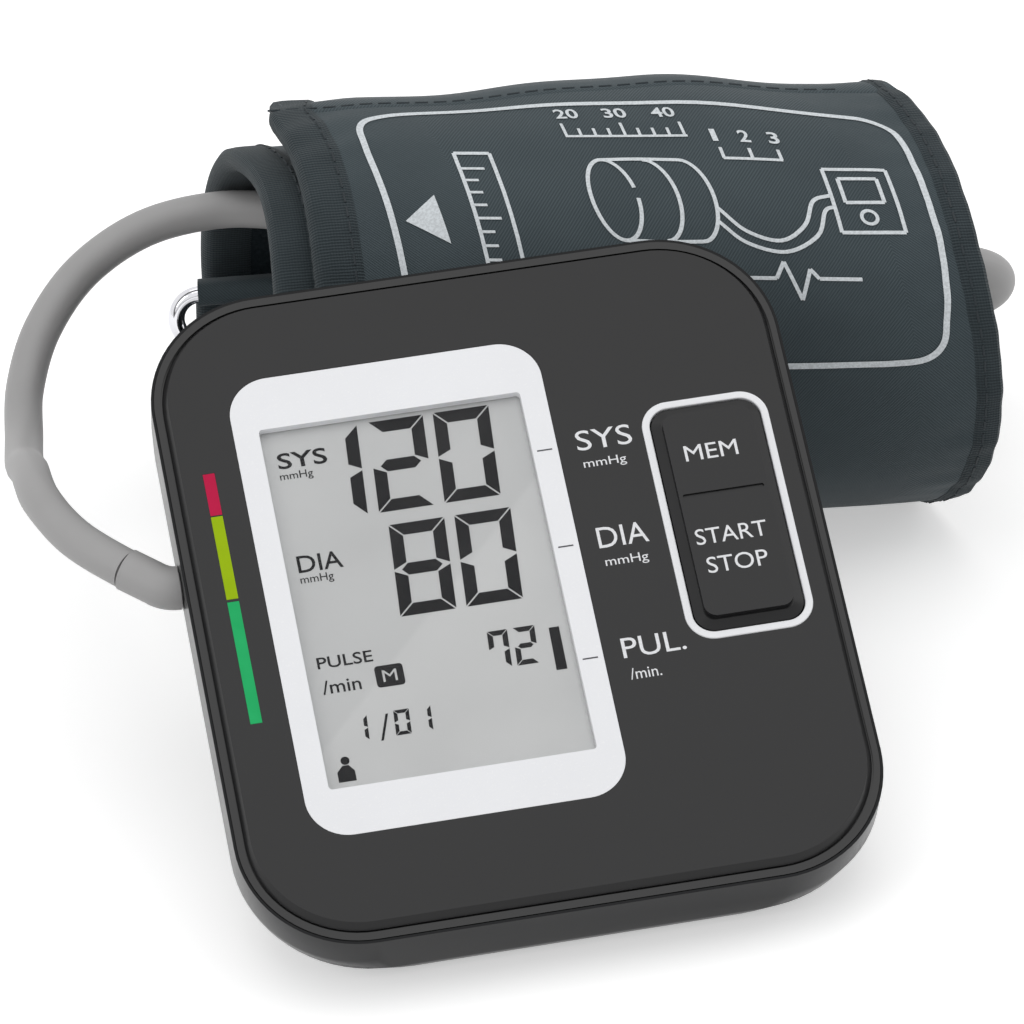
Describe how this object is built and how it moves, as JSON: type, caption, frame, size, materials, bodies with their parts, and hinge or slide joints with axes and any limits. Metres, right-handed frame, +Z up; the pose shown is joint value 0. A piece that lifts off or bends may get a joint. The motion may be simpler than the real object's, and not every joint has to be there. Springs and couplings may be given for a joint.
{
  "type": "blood pressure monitor",
  "caption": "Upper-arm blood pressure monitor with a large display and a rocker key, leaning back against its rolled cuff, with the air hose looped between them.",
  "frame": {"origin": "on the table, in the middle of the narrow flat on the lower front edge that the case stands on", "axes": "+X to the right across the case's face, +Y back towards the cuff, +Z up from the table"},
  "size_m": [0.2194, 0.2197, 0.0903],
  "materials": {
    "gloss_black": "glossy",
    "scale_print": "glossy print",
    "white_gloss": "fine pearl",
    "clear_lens": "clear",
    "lcd_glass": "grey",
    "white_plastic": "matte",
    "dark_rubber": "matte",
    "black_plastic": "satin",
    "case_plastic": "satin",
    "grey_rubber": "matte",
    "board_green": "satin",
    "steel": "plated",
    "clear_tube": "translucent",
    "cell_can": "sleeved",
    "grey_plastic": "satin",
    "grey_hose": "matte",
    "cuff_fabric": "twill",
    "bladder_film": "smooth",
    "lining_fabric": "brushed",
    "tape_fabric": "ribbed tape",
    "ring_chrome": "polished"
  },
  "bodies": {
    "case": {"face_plate": "gloss_black", "level_scale": "scale_print", "key_outline": "white_gloss", "display_frame": "white_gloss", "display_lens": "clear_lens", "lcd_panel": "lcd_glass", "lcd_holder": "white_plastic", "contact_strips": "dark_rubber", "upper_shell": "black_plastic", "lower_shell": "case_plastic", "key_mat": "grey_rubber", "circuit_board": "board_green", "board_parts": "black_plastic", "pressure_sensor": "white_plastic", "buzzer": "black_plastic", "air_pump_head": "white_plastic", "air_pump_motor": "steel", "release_valve": "steel", "air_tubing": "clear_tube", "air_socket": "black_plastic", "power_jack": "black_plastic", "battery_cell_1": "cell_can", "battery_cell_2": "cell_can", "battery_cell_3": "cell_can", "battery_cell_4": "cell_can", "contact_springs": "steel", "contact_plates": "steel", "rubber_feet": "dark_rubber", "case_screws": "steel", "board_screws": "steel"},
    "key": {"rocker_key": "gloss_black"},
    "battery_lid": {"battery_cover": "case_plastic"},
    "cuff": {"air_plug": "grey_plastic", "air_hose": "grey_hose", "hose_elbow": "grey_plastic", "cuff_cloth": "cuff_fabric", "air_bladder": "bladder_film", "cuff_lining": "lining_fabric", "left_binding": "tape_fabric", "right_binding": "tape_fabric", "end_hem": "cuff_fabric", "inner_seam": "cuff_fabric", "ring_keeper": "tape_fabric"},
    "ring": {"metal_ring": "ring_chrome"}
  },
  "joints": [
    {"name": "key_rock", "type": "hinge", "parent": "case", "child": "key", "pos_m": [0.0437, 0.05165, 0.05314], "axis": [1, 0, 0], "range_deg": [-1.2, 1.2], "stiffness_Nm_per_rad": 6},
    {"name": "lid_hinge", "type": "hinge", "parent": "case", "child": "battery_lid", "pos_m": [0, 0.00779, 0.0023], "axis": [-1, 0, 0], "range_deg": [0, 25]},
    {"name": "plug_slide", "type": "slide", "parent": "case", "child": "cuff", "axis": [-1, 0, 0], "range_m": [0, 0.0095]},
    {"name": "ring_swing", "type": "hinge", "parent": "cuff", "child": "ring", "pos_m": [0.0389, 0.17513, 0.03811], "axis": [-0.9903, 0.1392, 0], "range_deg": [0, 60]}
  ]
}
